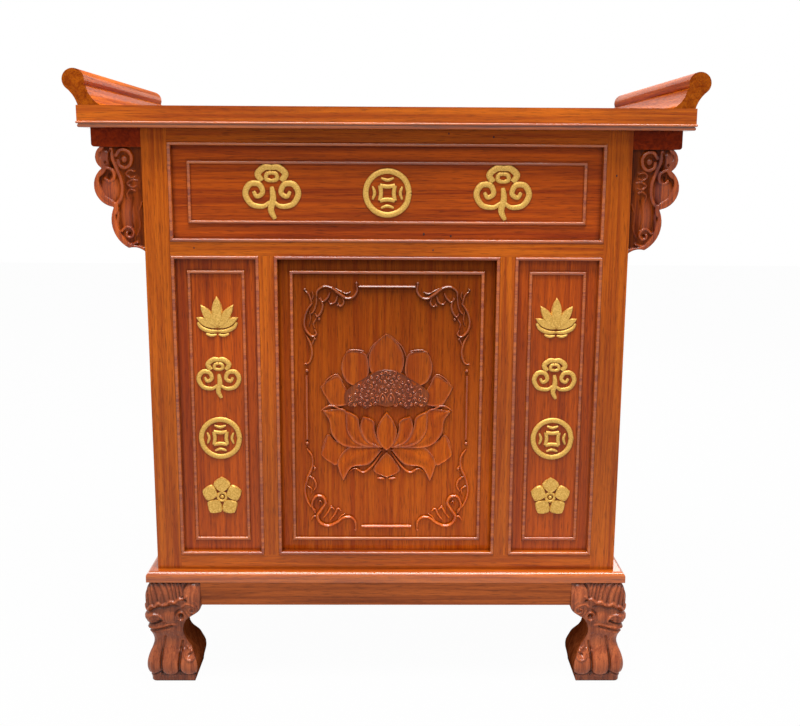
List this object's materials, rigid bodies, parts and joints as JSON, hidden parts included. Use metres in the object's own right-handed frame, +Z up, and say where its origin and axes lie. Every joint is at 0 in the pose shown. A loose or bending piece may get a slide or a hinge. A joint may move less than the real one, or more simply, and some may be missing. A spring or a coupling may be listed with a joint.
{
  "type": "donation box",
  "caption": "Carved hardwood merit box shaped like an altar table: slotted top, upturned ends, gilt ornaments, lotus panel, lion-mask legs and a locked back door.",
  "frame": {"origin": "centre of the box's footprint, on the floor", "axes": "+X to the right seen from the front, +Y towards the back, +Z up; the carved front faces -Y"},
  "size_m": [1.0404, 0.524, 1.0675],
  "materials": {
    "frame_wood": "gloss red-orange varnish over straight grain",
    "panel_wood": "gloss red-brown varnish",
    "flange_wood": "gloss red-orange varnish",
    "bracket_wood": "gloss dark red varnish over carving",
    "base_wood": "gloss red-orange varnish",
    "leg_wood": "satin red-brown varnish over carving",
    "inner_wood": "unvarnished boards",
    "gilding": "gold paint on carved wood",
    "hinge_brass": "polished brass",
    "lock_chrome": "bright chrome plate"
  },
  "bodies": {
    "cabinet": {"top_board": "frame_wood", "post_front_left": "frame_wood", "post_front_right": "frame_wood", "post_rear_left": "frame_wood", "post_rear_right": "frame_wood", "front_top_rail": "frame_wood", "front_middle_rail": "frame_wood", "front_bottom_rail": "frame_wood", "front_mullion_left": "frame_wood", "front_mullion_right": "frame_wood", "side_top_rail_left": "frame_wood", "side_top_rail_right": "frame_wood", "side_bottom_rail_left": "frame_wood", "side_bottom_rail_right": "frame_wood", "rear_top_board": "frame_wood", "rear_bottom_rail": "frame_wood", "rear_upright_hinge": "frame_wood", "rear_upright_lock": "frame_wood", "front_opening_beads": "frame_wood", "front_panel_beads": "frame_wood", "side_opening_beads": "frame_wood", "frieze_panel": "panel_wood", "front_panel_left": "panel_wood", "front_panel_centre": "panel_wood", "front_panel_right": "panel_wood", "side_panel_left": "panel_wood", "side_panel_right": "panel_wood", "rear_panel_left": "panel_wood", "rear_panel_right": "panel_wood", "end_flange_left": "flange_wood", "end_flange_right": "flange_wood", "bearer_left": "bracket_wood", "bearer_right": "bracket_wood", "bracket_front_left": "bracket_wood", "bracket_front_right": "bracket_wood", "bracket_rear_left": "bracket_wood", "bracket_rear_right": "bracket_wood", "plinth_frame": "base_wood", "apron_front": "base_wood", "apron_rear": "base_wood", "apron_left": "base_wood", "apron_right": "base_wood", "leg_front_left": "leg_wood", "leg_front_right": "leg_wood", "leg_rear_left": "leg_wood", "leg_rear_right": "leg_wood", "bottom_board": "inner_wood", "gilt_frieze_ornaments": "gilding", "gilt_left_ornaments": "gilding", "gilt_right_ornaments": "gilding", "hinge_frame_leaves": "hinge_brass", "hinge_screws_frame": "hinge_brass"},
    "back_door": {"door_frame": "frame_wood", "door_panel": "panel_wood", "hinge_door_leaves": "hinge_brass", "hinge_screws_door": "hinge_brass", "lock_body": "lock_chrome", "door_knob": "hinge_brass"},
    "lock_plug_and_cam": {"lock_plug": "lock_chrome"}
  },
  "joints": [
    {"name": "back_door_hinge", "type": "hinge", "parent": "cabinet", "child": "back_door", "pos_m": [0.19025, 0.235, 0.5], "axis": [0, 0, -1], "range_deg": [0, 170]},
    {"name": "lock_turn", "type": "hinge", "parent": "back_door", "child": "lock_plug_and_cam", "pos_m": [-0.1645, 0.231, 0.5], "axis": [0, 1, 0], "range_deg": [0, 90]}
  ]
}
